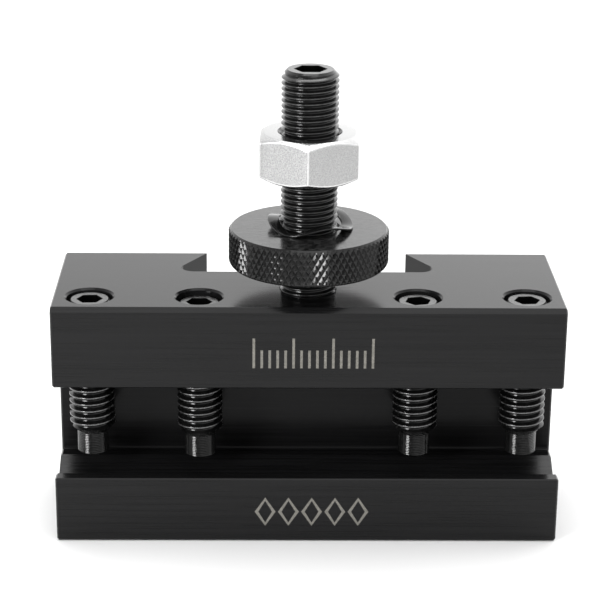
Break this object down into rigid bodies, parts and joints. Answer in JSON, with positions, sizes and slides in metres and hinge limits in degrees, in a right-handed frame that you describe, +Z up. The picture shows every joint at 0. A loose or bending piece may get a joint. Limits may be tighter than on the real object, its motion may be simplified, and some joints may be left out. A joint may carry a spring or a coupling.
{
  "type": "dovetail toolholder",
  "caption": "Slotted steel toolholder for a dovetail quick-change tool post, with clamping screws, a knurled height wheel and a lock nut.",
  "frame": {"origin": "centre of the block's underside", "axes": "+Z up along the stud, +X along the tool slot, -Y towards the slot's mouth, +Y towards the dovetail"},
  "size_m": [0.0888, 0.0334, 0.0834],
  "materials": {
    "black_oxide_block": "ground black oxide, satin",
    "black_oxide_screw": "oiled black oxide",
    "black_oxide_stud": "oiled black oxide",
    "black_oxide_wheel": "knurled black oxide",
    "black_spring_steel": "polished black oxide",
    "bright_zinc": "bright zinc plate"
  },
  "bodies": {
    "holder": {"holder_body": "black_oxide_block", "height_stud": "black_oxide_stud"},
    "screw_1": {"set_screw_1": "black_oxide_screw"},
    "screw_2": {"set_screw_2": "black_oxide_screw"},
    "screw_3": {"set_screw_3": "black_oxide_screw"},
    "screw_4": {"set_screw_4": "black_oxide_screw"},
    "washer": {"wave_washer": "black_spring_steel"},
    "wheel": {"thumbwheel": "black_oxide_wheel"},
    "nut": {"lock_nut": "bright_zinc"}
  },
  "joints": [
    {"name": "screw_travel_1", "type": "slide", "parent": "holder", "child": "screw_1", "axis": [0, 0, -1], "range_m": [-0.0144, 0.003]},
    {"name": "screw_travel_2", "type": "slide", "parent": "holder", "child": "screw_2", "axis": [0, 0, -1], "range_m": [-0.0144, 0.003]},
    {"name": "screw_travel_3", "type": "slide", "parent": "holder", "child": "screw_3", "axis": [0, 0, -1], "range_m": [-0.0144, 0.003]},
    {"name": "screw_travel_4", "type": "slide", "parent": "holder", "child": "screw_4", "axis": [0, 0, -1], "range_m": [-0.0144, 0.003]},
    {"name": "wheel_travel", "type": "slide", "parent": "holder", "child": "washer", "axis": [0, 0, 1], "range_m": [-0.0045, 0.0035]},
    {"name": "wheel_turn", "type": "hinge", "parent": "washer", "child": "wheel", "pos_m": [0, -0.0042, 0.0554], "axis": [0, 0, 1], "range_deg": [-1621, 1261]},
    {"name": "nut_travel", "type": "slide", "parent": "holder", "child": "nut", "axis": [0, 0, 1], "range_m": [-0.0035, 0.0095]}
  ],
  "couplings": [
    {"joint": "wheel_turn", "follows": "wheel_travel", "rad_per_m": 6283.2}
  ]
}
